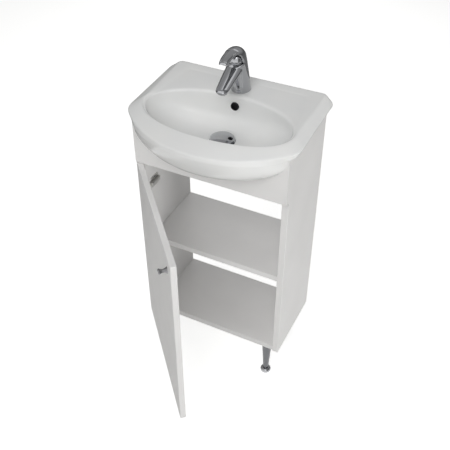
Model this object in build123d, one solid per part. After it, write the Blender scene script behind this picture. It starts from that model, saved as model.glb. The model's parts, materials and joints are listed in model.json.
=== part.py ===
from build123d import *
import os
from math import cos, radians, sin, sqrt

# A washbasin standing on a one-door cupboard with four screw-in legs.
# Millimetres. X runs along the front, Y towards the wall, Z up from the floor.
# Y = 0 is the plane of the front edges of the two side panels.

# Cupboard boards
carcass_width = 430.0
carcass_depth = 234.0
side_height = 695.0
board = 18.0
front_board = 16.0
shelf_top = 301.0
shelf_setback = 3.0
shelf_side_gap = 0.5
rail_height = 100.0
fascia_height = 132.0
edge_round = 1.0
dowel_diameter = 8.0
dowel_length = 30.0
dowel_inset = 45.0
shelf_pin_diameter = 5.0
shelf_pin_length = 16.0
bracket_leg = 18.0
bracket_width = 20.0
bracket_thickness = 2.0
bracket_above_edge = 4.0

# Legs
leg_height = 124.0
leg_inset_front = 43.0
leg_inset_rear = 53.0
leg_edge_distance = 20.0
leg_bolt_diameter = 8.0
leg_bolt_in_leg = 20.0
leg_bolt_in_board = 14.0
leg_top_diameter = 30.0
leg_neck_diameter = 16.0
foot_diameter = 33.0
foot_height = 13.0
foot_stud_diameter = 8.0
foot_stud_length = 30.0
stud_end_gap = 1.0
foot_edge = 1.5
running_clearance = 0.05

# Door, its knob and its hinges
door_gap = 2.0
door_side_gap = 0.5
door_open_angle = 48.0
door_edge_round = 2.5
knob_from_free_edge = 38.0
knob_from_top = 41.0
knob_length = 22.0
knob_base_diameter = 18.0
knob_waist_diameter = 9.0
knob_head_diameter = 14.5
knob_screw_diameter = 4.0
knob_screw_head_diameter = 8.0
knob_screw_head_height = 1.5
bumper_diameter = 8.0
bumper_clearance = 0.4
hinge_from_end = 86.0
pivot_from_edge = 7.5
pivot_depth = 9.0
pin_diameter = 3.0
eye_diameter = 5.0
cup_diameter = 26.0
cup_wall = 1.0
cup_floor = 0.8
ear_thickness = 1.0
cup_depth = 12.6
cup_edge_margin = 2.5
ear_reach = 21.0
ear_width = 12.0
arm_width = 10.0
arm_strip = 2.5
arm_cover_width = 13.0
arm_cover_height = 8.0
arm_cover_start = 14.0
arm_cover_length = 40.0
plate_thickness = 1.8
plate_height = 34.0
plate_length = 36.0
plate_start = 20.0
plate_round = 5.0
hook_set_in = 0.2

# Fasteners
screw_head_diameter = 7.0
screw_head_height = 2.0
screw_shank_diameter = 3.5
screw_length = 14.0

# Washbasin
basin_side_overhang = 19.5
basin_overhang = 114.0
basin_bow_radius = 304.0
basin_front_corner = 50.0
basin_back_corner = 25.0
back_allowance = 3.0
lip_height = 19.0
lip_edge = 4.0
lip_undercut = 17.0
crest_inset = 31.5
crest_overhang = 58.0
crest_bow_radius = 298.0
crest_front_corner = 60.0
crest_back_corner = 10.0
crest_rise = 12.0
crest_fall_angle = 3.5
ledge_depth = 24.0
recess_depth = 2.2
recess_margin = 5.0
bowl_end_margin = 33.5
bowl_half_width = 95.5
bowl_centre = 37.0
bowl_depth = 95.0
drain_from_front_edge = 65.0
drain_bore_diameter = 46.0
belly_end_margin = 16.5
belly_half_width = 127.0
belly_centre = 25.0
belly_drop = 87.0
belly_shift = 20.0
belly_gap = 3.0
belly_back_gap = 0.5
ceramic_wall = 12.0
pocket_height = 27.0
overflow_diameter = 18.0
overflow_height = 9.0
overflow_duct_diameter = 13.0
overflow_wall = 3.0
drain_boss_rise = 10.0
wall_bolt_diameter = 14.0
wall_bolt_spacing = 280.0
wall_bolt_height = 13.0
tap_hole_diameter = 35.0

# Waste
flange_diameter = 67.0
flange_thickness = 2.5
gasket_thickness = 1.5
waste_tube_diameter = 44.0
waste_bore_diameter = 36.0
waste_thread_diameter = 41.9
waste_length = 82.0
waste_thread_length = 24.0
waste_nut_across = 58.0
waste_nut_height = 12.0
plug_diameter = 61.0
plug_thickness = 4.0
plug_lift = 7.0
plug_gap = 0.5
plug_stem_diameter = 9.0
plug_guide_diameter = 16.0
plug_guide_length = 26.0
spider_thickness = 6.0

# Tap
tap_from_front_edge = 174.0
tap_lean = 18.5
tap_base_diameter = 51.0
tap_top_diameter = 53.0
tap_body_length = 99.5
tap_pad_margin = 3.0
spout_reach = 107.0
spout_start = 30.0
spout_below_top = 14.4
spout_fall = 32.5
spout_root_half_width = 22.0
spout_tip_half_width = 16.5
spout_root_half_height = 13.0
spout_tip_half_height = 7.5
outlet_drop = 8.5
waterway_diameter = 9.0
aerator_diameter = 24.0
aerator_bore_diameter = 18.0
aerator_height = 6.0
aerator_hole_diameter = 1.6
cartridge_diameter = 28.0
cartridge_height = 36.0
cartridge_clearance = 0.3
cartridge_nut_diameter = 32.0
cartridge_nut_height = 5.0
rotor_diameter = 22.0
rotor_height = 9.0
rotor_floor = 2.0
stem_side = 8.0
stem_slot_clearance = 0.3
stem_length = 28.0
stem_pin_diameter = 3.0
dome_diameter = 37.0
dome_height = 19.0
dome_wall = 2.0
dome_opening_diameter = 28.0
hood_diameter = 56.0
hood_centre_rise = 6.5
hood_gap = 0.6
hood_hollow_radius = 24.0
hood_front = 8.0
lever_tilt = 20.0
tongue_length = 83.4
lever_rise = 32.6
lever_thickness = 7.0
lever_tip_fall = 8.5
lever_root_half_width = 13.0
lever_tip_radius = 10.0
lever_screw_diameter = 4.0
stud_diameter = 8.0
stud_length = 62.0
stud_offset = 12.0
horseshoe_diameter = 46.0
horseshoe_thickness = 3.0
inlet_diameter = 10.0
inlet_depth = 14.0

# Planes and lines that several pieces share
side_bottom = leg_height
seat = side_bottom + side_height
half_carcass = carcass_width / 2
inner_face = half_carcass - board
basin_half_width = half_carcass + basin_side_overhang
crest_half_width = basin_half_width - crest_inset
bowl_half_length = basin_half_width - bowl_end_margin
belly_half_length = basin_half_width - belly_end_margin
fascia_underside = seat - fascia_height
door_bottom = side_bottom
door_top = fascia_underside - door_gap
door_back = -door_gap
door_front = door_back - front_board
door_half_width = half_carcass - door_side_gap
pivot = Vector(-door_half_width + pivot_from_edge, door_back - pivot_depth, 0)
hinge_levels = (door_top - hinge_from_end, door_bottom + hinge_from_end)
lip_level = seat + lip_height
crest_level = lip_level + crest_rise
crest_plane = Plane(
    origin=(0, -crest_overhang, crest_level),
    x_dir=(1, 0, 0),
    z_dir=(0, -sin(radians(crest_fall_angle)), cos(radians(crest_fall_angle))),
)
lip_plane = crest_plane.offset(-crest_rise)
fall = sin(radians(crest_fall_angle)) / cos(radians(crest_fall_angle))


def crest_height(y):
    return crest_level + (y + crest_overhang) * fall


deck_level = crest_height(tap_from_front_edge) - recess_depth
bowl_floor = deck_level - bowl_depth
pocket_ceiling = seat + pocket_height
drain_boss_bottom = seat - belly_drop + drain_boss_rise


def block(x0, x1, y0, y1, z0, z1):
    return Pos((x0 + x1) / 2, (y0 + y1) / 2, (z0 + z1) / 2) * Box(x1 - x0, y1 - y0, z1 - z0)


def rod(diameter, start, end):
    axis = Vector(*end) - Vector(*start)
    return extrude(Plane(origin=start, z_dir=axis) * Circle(diameter / 2), axis.length)


def turned(*points):
    return revolve(Plane.XZ * make_face(Polyline(*points, close=True)), Axis.Z)


def wood_screw(position, outward):
    # Countersunk screw, head face at the position, shank running inwards.
    head = screw_head_diameter / 2
    shank = screw_shank_diameter / 2
    shape = turned(
        (0, 0),
        (head, 0),
        (shank, -screw_head_height),
        (shank, shank - screw_length),
        (0, -screw_length),
    )
    return Plane(origin=position, z_dir=outward) * shape


def swing_open(piece):
    # Turns a piece of the closed door about the hinge pins to its standing-open place.
    return Pos(*pivot) * Rot(0, 0, -door_open_angle) * Pos(*-pivot) * piece


def group(solids):
    return Compound([solid for piece in solids for solid in piece.solids()])


# Fixings of the carcass
dowel_places = []
for side in (-1, 1):
    for y in (dowel_inset, carcass_depth - dowel_inset):
        dowel_places.append((side, y, side_bottom + board / 2))
    for z in (seat - rail_height * 0.3, seat - rail_height * 0.7):
        dowel_places.append((side, carcass_depth - board / 2, z))
carcass_dowels = [
    rod(
        dowel_diameter,
        (side * (inner_face - dowel_length / 2), y, z),
        (side * (inner_face + dowel_length / 2), y, z),
    )
    for side, y, z in dowel_places
]
shelf_underside = side_bottom + shelf_top - board
shelf_pins = [
    rod(
        shelf_pin_diameter,
        (side * (inner_face - shelf_pin_length / 2), y, shelf_underside - shelf_pin_diameter / 2),
        (side * (inner_face + shelf_pin_length / 2), y, shelf_underside - shelf_pin_diameter / 2),
    )
    for side in (-1, 1)
    for y in (dowel_inset, carcass_depth - dowel_inset)
]

# L brackets that hold the fascia to the side panels from behind
bracket_level = fascia_underside + bracket_width / 2 + bracket_above_edge
fascia_brackets = []
fascia_screws = []
for side in (-1, 1):
    corner = side * inner_face
    along_side = block(
        *sorted((corner, corner - side * bracket_thickness)),
        0,
        bracket_leg,
        bracket_level - bracket_width / 2,
        bracket_level + bracket_width / 2,
    )
    along_fascia = block(
        *sorted((corner, corner - side * bracket_leg)),
        0,
        bracket_thickness,
        bracket_level - bracket_width / 2,
        bracket_level + bracket_width / 2,
    )
    middle = bracket_leg * 0.6
    pair = [
        wood_screw((corner - side * bracket_thickness, middle, bracket_level), (-side, 0, 0)),
        wood_screw((corner - side * middle, bracket_thickness, bracket_level), (0, 1, 0)),
    ]
    fascia_brackets.append((along_side + along_fascia) - pair)
    fascia_screws += pair

# Legs: a tapering leg on a double-ended bolt under the bottom panel, and a foot on a stud
leg_places = {
    "front_left": (-half_carcass + leg_inset_front, leg_edge_distance),
    "front_right": (half_carcass - leg_inset_front, leg_edge_distance),
    "rear_left": (-half_carcass + leg_inset_rear, carcass_depth - leg_edge_distance),
    "rear_right": (half_carcass - leg_inset_rear, carcass_depth - leg_edge_distance),
}
leg_shape = turned(
    (0, side_bottom),
    (leg_top_diameter / 2, side_bottom),
    (leg_neck_diameter / 2, foot_height + running_clearance),
    (0, foot_height + running_clearance),
)
stud_hole = rod(
    foot_stud_diameter + 2 * running_clearance,
    (0, 0, foot_height),
    (0, 0, foot_height + foot_stud_length + stud_end_gap),
)
foot_dome = revolve(
    Plane.XZ
    * make_face(
        [
            Line((0, 0), (foot_diameter / 2 - foot_edge, 0)),
            ThreePointArc(
                (foot_diameter / 2 - foot_edge, 0),
                (foot_diameter / 2, foot_height * 0.35),
                (leg_neck_diameter / 2, foot_height),
            ),
            Line((leg_neck_diameter / 2, foot_height), (0, foot_height)),
            Line((0, foot_height), (0, 0)),
        ]
    ),
    Axis.Z,
)
foot_shape = foot_dome + rod(foot_stud_diameter, (0, 0, foot_height), (0, 0, foot_height + foot_stud_length))
leg_bolts = []
legs = {}
feet = {}
for corner, (x, y) in leg_places.items():
    bolt = rod(leg_bolt_diameter, (x, y, side_bottom - leg_bolt_in_leg), (x, y, side_bottom + leg_bolt_in_board))
    legs[corner] = Pos(x, y, 0) * (leg_shape - stud_hole) - bolt
    feet[corner] = Pos(x, y, 0) * foot_shape
    leg_bolts.append(bolt)

# Hinges, drawn with the door closed
cup_centre_x = -door_half_width + cup_edge_margin + cup_diameter / 2
hinge_cups = []
hinge_pins = []
hinge_arms = []
hinge_plates = []
cup_screws = []
plate_screws = []
cup_pockets = []
strip_inner = -inner_face + plate_thickness
pin_half_length = sqrt((cup_diameter / 2 - cup_wall) ** 2 - (cup_centre_x - pivot.X) ** 2) + cup_wall
for level in hinge_levels:
    pocket = rod(cup_diameter, (cup_centre_x, door_back, level), (cup_centre_x, door_back - cup_depth, level))
    hollow = rod(
        cup_diameter - 2 * cup_wall,
        (cup_centre_x, door_back + 2 * cup_wall, level),
        (cup_centre_x, door_back - cup_depth + cup_floor, level),
    )
    ears = block(
        cup_centre_x - ear_width / 2,
        cup_centre_x + ear_width / 2,
        door_back,
        door_back + ear_thickness,
        level - ear_reach,
        level + ear_reach,
    )
    ears = fillet(ears.edges().filter_by(Axis.Y), ear_width * 0.4)
    pin = rod(
        pin_diameter,
        (pivot.X, pivot.Y, level - pin_half_length),
        (pivot.X, pivot.Y, level + pin_half_length),
    )
    pair = [
        wood_screw((cup_centre_x, door_back + ear_thickness, level + end * (ear_reach - ear_width * 0.4)), (0, 1, 0))
        for end in (-1, 1)
    ]
    cup_pockets.append(pocket)
    hinge_cups.append(pocket + ears - hollow - pin - pair)
    hinge_pins.append(pin)
    cup_screws += pair

    # The arm hooks round the pin, leaves the cup and lies along the side panel.
    eye = Pos(pivot.X, pivot.Y) * Circle(eye_diameter / 2)
    foot_of_hook = pivot.Y - eye_diameter / 2 + hook_set_in
    hook = Pos((pivot.X + strip_inner) / 2, foot_of_hook + arm_strip / 2) * Rectangle(
        strip_inner - pivot.X, arm_strip
    )
    strip_end = arm_cover_start + arm_cover_length
    strip = Pos(strip_inner + arm_strip / 2, (foot_of_hook + strip_end) / 2) * Rectangle(
        arm_strip, strip_end - foot_of_hook
    )
    pin_bore = Pos(pivot.X, pivot.Y) * Circle(pin_diameter / 2 + running_clearance)
    profile = eye + hook + strip - pin_bore
    arm = Pos(0, 0, level - arm_width / 2) * extrude(profile, arm_width)
    cover = block(
        strip_inner,
        strip_inner + arm_cover_height,
        arm_cover_start,
        strip_end,
        level - arm_cover_width / 2,
        level + arm_cover_width / 2,
    )
    cover = fillet(cover.faces().sort_by(Axis.X)[-1].edges(), arm_strip)
    hinge_arms.append(arm + cover)
    plate = block(
        -inner_face,
        strip_inner,
        plate_start,
        plate_start + plate_length,
        level - plate_height / 2,
        level + plate_height / 2,
    )
    plate = fillet(plate.edges().filter_by(Axis.X), plate_round)
    pair = [
        wood_screw(
            (strip_inner, plate_start + plate_length / 2, level + end * (plate_height / 2 - plate_round)),
            (1, 0, 0),
        )
        for end in (-1, 1)
    ]
    hinge_plates.append(plate - pair)
    plate_screws += pair

# Boards
left_side = block(-half_carcass, -inner_face, 0, carcass_depth, side_bottom, seat)
right_side = block(inner_face, half_carcass, 0, carcass_depth, side_bottom, seat)
left_side = fillet(left_side.edges().filter_by(Axis.Z), edge_round)
right_side = fillet(right_side.edges().filter_by(Axis.Z), edge_round)
left_side = left_side - carcass_dowels - shelf_pins - fascia_screws - plate_screws
right_side = right_side - carcass_dowels - shelf_pins - fascia_screws
bottom_panel = block(
    -inner_face, inner_face, shelf_setback, carcass_depth, side_bottom, side_bottom + board
)
bottom_panel = bottom_panel - carcass_dowels - leg_bolts
shelf = block(
    -inner_face + shelf_side_gap,
    inner_face - shelf_side_gap,
    shelf_setback,
    carcass_depth,
    shelf_underside,
    shelf_underside + board,
)
shelf = fillet(shelf.edges().filter_by(Axis.X), edge_round)
rear_rail = block(
    -inner_face, inner_face, carcass_depth - board, carcass_depth, seat - rail_height, seat
)
rear_rail = rear_rail - carcass_dowels


# Share of the drop, then shares of the length and of the width at that height
belly_shape = (
    (0, 1, 1.07),
    (0.43, 0.93, 0.98),
    (0.63, 0.85, 0.94),
    (0.8, 0.7, 0.83),
    (0.93, 0.48, 0.6),
    (1, 0.28, 0.36),
)
bowl_shape = ((0, 1, 1), (0.32, 0.955, 0.95), (0.65, 0.8, 0.79), (0.87, 0.52, 0.52), (1, 0.25, 0.36))


def belly_form(gap):
    # The rounded underside of the basin, grown by a gap on every side.
    # In front of the fascia it is wider than the room between the side panels.
    whole = loft(
        [
            Pos(0, belly_centre + belly_shift * drop**2, seat - (belly_drop + gap) * drop)
            * Ellipse(belly_half_length * length + gap, belly_half_width * width + gap)
            for drop, length, width in belly_shape
        ]
    )
    room = inner_face - belly_gap + gap
    behind = -front_board - belly_back_gap
    for side in (-1, 1):
        whole -= block(
            *sorted((side * room, side * basin_half_width)),
            behind,
            carcass_depth,
            seat - 2 * belly_drop,
            seat,
        )
    return whole


# The fascia stands in front of the side panels and is cut away round the bowl.
fascia = block(-half_carcass, half_carcass, -front_board, 0, fascia_underside, seat)
fascia = fillet(fascia.edges().filter_by(Axis.X).group_by(Axis.Z)[0], edge_round)
fascia = fascia - belly_form(belly_gap) - fascia_screws

# Door, knob and bumpers
door_panel = block(-door_half_width, door_half_width, door_front, door_back, door_bottom, door_top)
door_panel = fillet(door_panel.edges(), door_edge_round)
knob_x = door_half_width - knob_from_free_edge
knob_z = door_top - knob_from_top
knob_shape = revolve(
    Plane.XZ
    * make_face(
        [
            Line((0, 0), (knob_base_diameter / 2, 0)),
            Spline(
                (knob_base_diameter / 2, 0),
                (knob_waist_diameter / 2, knob_length * 0.45),
                (knob_head_diameter / 2, knob_length * 0.85),
            ),
            ThreePointArc(
                (knob_head_diameter / 2, knob_length * 0.85),
                (knob_head_diameter * 0.42, knob_length * 0.96),
                (knob_head_diameter * 0.25, knob_length),
            ),
            Line((knob_head_diameter * 0.25, knob_length), (0, knob_length)),
            Line((0, knob_length), (0, 0)),
        ]
    ),
    Axis.Z,
)
door_knob = Plane(origin=(knob_x, door_front, knob_z), z_dir=(0, -1, 0)) * knob_shape
knob_screw = Plane(origin=(knob_x, door_back, knob_z), z_dir=(0, 1, 0)) * turned(
    (0, knob_screw_head_height),
    (knob_screw_head_diameter / 2, knob_screw_head_height),
    (knob_screw_head_diameter / 2, 0),
    (knob_screw_diameter / 2, 0),
    (knob_screw_diameter / 2, -front_board - knob_length * 0.4),
    (0, -front_board - knob_length * 0.4),
)
door_knob = door_knob - knob_screw
door_bumpers = [
    rod(
        bumper_diameter,
        (door_half_width - board / 2, door_back, z),
        (door_half_width - board / 2, -bumper_clearance, z),
    )
    for z in (door_bottom + hinge_from_end / 2, door_top - hinge_from_end / 2)
]
door_panel = door_panel - cup_pockets - cup_screws - knob_screw - hinge_pins


# Washbasin
def rim_outline(half_width, overhang, bow_radius, front_corner, back_corner, back=carcass_depth):
    # A straight back and sides with a bowed front, all corners rounded.
    sheet = Pos(0, (back - overhang) / 2) * Rectangle(2 * half_width, back + overhang)
    sheet = sheet & (Pos(0, bow_radius - overhang) * Circle(bow_radius))
    sheet = fillet(sheet.vertices().sort_by(Axis.Y)[:2], front_corner)
    return fillet(sheet.vertices().sort_by(Axis.Y)[-2:], back_corner)


lip = rim_outline(
    basin_half_width,
    basin_overhang,
    basin_bow_radius,
    basin_front_corner,
    basin_back_corner,
    carcass_depth + back_allowance,
)
foot_of_rim = rim_outline(
    basin_half_width - lip_undercut,
    basin_overhang - lip_undercut,
    basin_bow_radius - lip_undercut,
    basin_front_corner - lip_undercut / 2,
    basin_back_corner - lip_undercut / 2,
)
crest = rim_outline(
    crest_half_width,
    crest_overhang,
    crest_bow_radius,
    crest_front_corner,
    crest_back_corner,
    carcass_depth + back_allowance,
)
recess = rim_outline(
    crest_half_width - recess_margin,
    crest_overhang - recess_margin,
    crest_bow_radius - recess_margin,
    crest_front_corner - recess_margin,
    crest_back_corner + recess_margin,
    carcass_depth - ledge_depth,
)
on_crest = crest_plane.location * Pos(0, crest_overhang, 0)
on_lip = lip_plane.location * Pos(0, crest_overhang, 0)
under_lip = lip_plane.offset(-lip_edge).location * Pos(0, crest_overhang, 0)
rim = loft([Pos(0, 0, seat) * foot_of_rim, under_lip * lip], ruled=True)
rim += extrude(under_lip * lip, lip_edge)
rim += loft([on_lip * lip, on_crest * crest], ruled=True)
rim -= block(
    -basin_half_width, basin_half_width, carcass_depth, carcass_depth + 2 * back_allowance, seat, seat + side_height
)

belly = belly_form(0)
bowl_top = crest_height(carcass_depth)
bowl = loft(
    [
        Pos(
            0,
            bowl_centre + (drain_from_front_edge - bowl_centre) * drop**2,
            deck_level - bowl_depth * drop,
        )
        * Ellipse(bowl_half_length * length, bowl_half_width * width)
        for drop, length, width in bowl_shape
    ]
)
bowl_mouth = loft(
    [
        Pos(0, bowl_centre, deck_level) * Ellipse(bowl_half_length, bowl_half_width),
        Pos(0, bowl_centre, bowl_top + 1) * Ellipse(bowl_half_length + 2, bowl_half_width + 2),
    ]
)
underside = extrude(
    Pos(0, 0, seat)
    * rim_outline(
        crest_half_width - recess_margin,
        basin_overhang - 2 * ceramic_wall,
        basin_bow_radius - 2 * ceramic_wall,
        basin_front_corner,
        basin_back_corner,
    ),
    pocket_height,
)
underside = underside & block(
    -basin_half_width, basin_half_width, 0, carcass_depth - ceramic_wall, seat, pocket_ceiling
)
round_the_bowl = extrude(
    Pos(0, bowl_centre, seat) * Ellipse(bowl_half_length + ceramic_wall, bowl_half_width + ceramic_wall),
    pocket_height,
)
overflow_level = bowl_floor + bowl_depth * 0.65
duct_y = bowl_centre + bowl_half_width + overflow_height + overflow_duct_diameter / 2
duct_bottom = drain_boss_bottom + overflow_duct_diameter
overflow_boss_half = overflow_diameter / 2 + overflow_wall
overflow_boss = block(
    -overflow_boss_half,
    overflow_boss_half,
    drain_from_front_edge,
    duct_y + overflow_boss_half,
    drain_boss_bottom,
    pocket_ceiling,
)
overflow_boss = fillet(overflow_boss.faces().sort_by(Axis.Y)[-1].edges().filter_by(Axis.Z), overflow_diameter / 2)
overflow_duct = (
    rod(
        overflow_diameter,
        (0, bowl_centre, overflow_level),
        (0, duct_y, overflow_level),
    )
    + rod(overflow_duct_diameter, (0, duct_y, duct_bottom), (0, duct_y, overflow_level))
    + rod(overflow_duct_diameter, (0, duct_y, duct_bottom), (0, drain_from_front_edge, duct_bottom))
)
drain_axis = Pos(0, drain_from_front_edge, 0)
drain_boss = drain_axis * rod(
    drain_bore_diameter + 2 * ceramic_wall, (0, 0, drain_boss_bottom), (0, 0, bowl_floor)
)
flange_seat = bowl_floor - flange_thickness - gasket_thickness
drain_bore = drain_axis * (
    rod(drain_bore_diameter, (0, 0, drain_boss_bottom - ceramic_wall), (0, 0, bowl_floor + 1))
    + rod(flange_diameter + 1, (0, 0, flange_seat), (0, 0, bowl_floor + 1))
    + rod(drain_bore_diameter + 2 * ceramic_wall, (0, 0, drain_boss_bottom - ceramic_wall), (0, 0, drain_boss_bottom))
)
tap_bore = rod(
    tap_hole_diameter,
    (0, tap_from_front_edge, pocket_ceiling - 1),
    (0, tap_from_front_edge, bowl_top),
)
pad_diameter = tap_base_diameter + 2 * tap_pad_margin
tap_pad = rod(
    pad_diameter, (0, tap_from_front_edge, pocket_ceiling), (0, tap_from_front_edge, deck_level)
)
above_pad = rod(pad_diameter, (0, tap_from_front_edge, deck_level), (0, tap_from_front_edge, bowl_top + ledge_depth))
wall_bolts = [
    rod(
        wall_bolt_diameter,
        (side * wall_bolt_spacing / 2, carcass_depth - 2 * ceramic_wall, seat + wall_bolt_height),
        (side * wall_bolt_spacing / 2, carcass_depth + 1, seat + wall_bolt_height),
    )
    for side in (-1, 1)
]
washbasin = rim + belly - (underside - round_the_bowl)
washbasin = washbasin + overflow_boss + drain_boss
washbasin = washbasin - extrude(on_crest * recess, -recess_depth) + tap_pad - above_pad - bowl - bowl_mouth
washbasin = washbasin - overflow_duct - drain_bore - tap_bore - wall_bolts

# Waste: a flanged tube through the drain, a nut below and a plug that is pressed shut
flange_top = bowl_floor
tube_bottom = flange_top - waste_length
waste_body = turned(
    (waste_bore_diameter / 2, flange_top),
    (flange_diameter / 2, flange_top),
    (flange_diameter / 2, flange_top - flange_thickness),
    (waste_tube_diameter / 2, flange_top - flange_thickness),
    (waste_tube_diameter / 2, tube_bottom + waste_thread_length),
    (waste_thread_diameter / 2, tube_bottom + waste_thread_length),
    (waste_thread_diameter / 2, tube_bottom),
    (waste_bore_diameter / 2, tube_bottom),
)
spider_level = flange_top - plug_guide_length
spider = Pos(0, 0, spider_level) * (
    Box(waste_bore_diameter + 1, spider_thickness, spider_thickness)
    + Box(spider_thickness, waste_bore_diameter + 1, spider_thickness)
)
spider = spider & rod(waste_bore_diameter + 1, (0, 0, tube_bottom), (0, 0, flange_top))
guide_bore = rod(plug_guide_diameter, (0, 0, tube_bottom), (0, 0, flange_top))
overflow_slots = rod(
    overflow_duct_diameter * 0.7,
    (0, -waste_tube_diameter, duct_bottom),
    (0, waste_tube_diameter, duct_bottom),
)
waste_body = drain_axis * (waste_body + spider - guide_bore - overflow_slots)
plug_guide = drain_axis * (
    rod(
        plug_guide_diameter,
        (0, 0, spider_level - plug_guide_length / 2),
        (0, 0, spider_level + plug_guide_length / 2),
    )
    - rod(
        plug_stem_diameter + 2 * running_clearance,
        (0, 0, tube_bottom),
        (0, 0, flange_top),
    )
)
plug_base = flange_top + plug_lift + plug_gap
waste_plug = drain_axis * (
    revolve(
        Plane.XZ
        * make_face(
            [
                Line((0, plug_base), (plug_diameter / 2, plug_base)),
                Line((plug_diameter / 2, plug_base), (plug_diameter / 2, plug_base + plug_thickness * 0.4)),
                ThreePointArc(
                    (plug_diameter / 2, plug_base + plug_thickness * 0.4),
                    (plug_diameter * 0.27, plug_base + plug_thickness * 0.85),
                    (plug_stem_diameter / 2, plug_base + plug_thickness),
                ),
                Line((plug_stem_diameter / 2, plug_base + plug_thickness), (0, plug_base + plug_thickness)),
                Line((0, plug_base + plug_thickness), (0, plug_base)),
            ]
        ),
        Axis.Z,
    )
    + rod(plug_stem_diameter, (0, 0, spider_level - plug_lift / 2), (0, 0, plug_base))
)


def washer(outer, inner, bottom, thickness):
    return turned(
        (inner / 2, bottom),
        (outer / 2, bottom),
        (outer / 2, bottom + thickness),
        (inner / 2, bottom + thickness),
    )


waste_upper_gasket = drain_axis * washer(flange_diameter, waste_tube_diameter, flange_seat, gasket_thickness)
waste_lower_gasket = drain_axis * washer(
    waste_nut_across, waste_tube_diameter, drain_boss_bottom - 2 * gasket_thickness, 2 * gasket_thickness
)
nut_bottom = drain_boss_bottom - 2 * gasket_thickness - waste_nut_height
waste_nut = drain_axis * (
    extrude(
        Pos(0, 0, nut_bottom) * RegularPolygon(waste_nut_across / 2, 6, major_radius=False), waste_nut_height
    )
    - rod(waste_tube_diameter, (0, 0, tube_bottom), (0, 0, flange_top))
)

# Tap, drawn about its base with the deck at zero; its body leans towards the user.
# Pieces that follow the leaning body are drawn upright and leaned at the end.
tap_axis = Pos(0, tap_from_front_edge, deck_level)
tongue_root = tap_body_length * sin(radians(tap_lean))
tap_top_height = tap_body_length * cos(radians(tap_lean))
spout_start_height = tap_top_height - spout_below_top
spout_end_height = spout_start_height - spout_fall
spout_outlet_height = spout_end_height - outlet_drop
hood_centre = tap_body_length + hood_centre_rise
lever_reach = tongue_root + tongue_length
lever_top = tap_top_height + lever_rise
lean = Rot(tap_lean, 0, 0)
body_bottom = gasket_thickness
body_shape = lean * turned(
    (0, -tap_base_diameter / 2),
    (tap_base_diameter / 2, -tap_base_diameter / 2),
    (tap_base_diameter / 2, 0),
    (tap_top_diameter / 2, tap_body_length),
    (0, tap_body_length),
)
body_shape -= block(
    -tap_top_diameter, tap_top_diameter, -tap_top_diameter, tap_top_diameter, -tap_body_length, body_bottom
)
spout_direction = Vector(0, spout_start - spout_reach, spout_end_height - spout_start_height).normalized()
spout_up = Vector(0, spout_direction.Z, -spout_direction.Y)


def spout_section(share):
    place = (
        0,
        -spout_start - (spout_reach - spout_start) * share,
        spout_start_height + (spout_end_height - spout_start_height) * share,
    )
    half_width = spout_root_half_width + (spout_tip_half_width - spout_root_half_width) * share
    half_height = spout_root_half_height + (spout_tip_half_height - spout_root_half_height) * share
    return Plane(origin=place, x_dir=(1, 0, 0), z_dir=spout_direction) * Ellipse(half_width, half_height)


spout = loft([spout_section(0), spout_section(0.5), spout_section(1)])
outlet_axis = Pos(0, -spout_reach, 0)
collar_bottom = spout_outlet_height + aerator_height
spout_collar = outlet_axis * rod(
    2 * spout_tip_half_width, (0, 0, collar_bottom), (0, 0, spout_end_height + spout_tip_half_height)
)
spout_collar = fillet(spout_collar.edges().sort_by(Axis.Z)[-1], spout_tip_half_height)
below_collar = outlet_axis * rod(
    2.5 * spout_tip_half_width, (0, 0, 0), (0, 0, collar_bottom)
)
# The front of the body's top is cut off along the slope of the spout.
slope_start = lean * Pos(0, -dome_diameter / 2 - dome_wall, tap_body_length)
front_slope = extrude(
    Plane(origin=slope_start.position, x_dir=(1, 0, 0), z_dir=spout_up)
    * Pos(0, -tap_top_diameter / 2)
    * Rectangle(2 * tap_top_diameter, tap_top_diameter),
    tap_top_diameter,
)
cartridge_bottom = tap_body_length - cartridge_height
cartridge_bore = lean * rod(
    cartridge_diameter + 2 * cartridge_clearance,
    (0, 0, cartridge_bottom),
    (0, 0, tap_body_length + rotor_height),
)
waterway_start = lean * Pos(0, -cartridge_diameter * 0.4, cartridge_bottom + waterway_diameter / 2)
waterway_end = (0, -spout_reach, spout_end_height - rotor_floor)
waterway = rod(waterway_diameter, tuple(waterway_start.position), waterway_end)
waterway += outlet_axis * rod(aerator_bore_diameter * 0.8, (0, 0, spout_outlet_height), (0, 0, waterway_end[2]))
inlets = [
    Pos(side * inlet_diameter * 0.7, -inlet_diameter * 0.4, 0)
    * rod(inlet_diameter, (0, 0, 0), (0, 0, body_bottom + inlet_depth))
    for side in (-1, 1)
]
stud_bore = rod(stud_diameter, (0, stud_offset, 0), (0, stud_offset, body_bottom + inlet_depth))
tap_body = body_shape + spout - below_collar + spout_collar - front_slope
tap_body = tap_body - cartridge_bore - waterway - inlets - stud_bore
aerator_housing = outlet_axis * washer(
    aerator_diameter, aerator_bore_diameter, spout_outlet_height, aerator_height
)
aerator_insert = outlet_axis * (
    rod(aerator_bore_diameter, (0, 0, spout_outlet_height + 1), (0, 0, collar_bottom))
    - [
        Pos(*spot.position) * rod(aerator_hole_diameter, (0, 0, 0), (0, 0, collar_bottom))
        for spot in PolarLocations(aerator_diameter * 0.25, 8)
    ]
)
tap_gasket = washer(tap_base_diameter - 2, tap_hole_diameter, 0, gasket_thickness)

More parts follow.
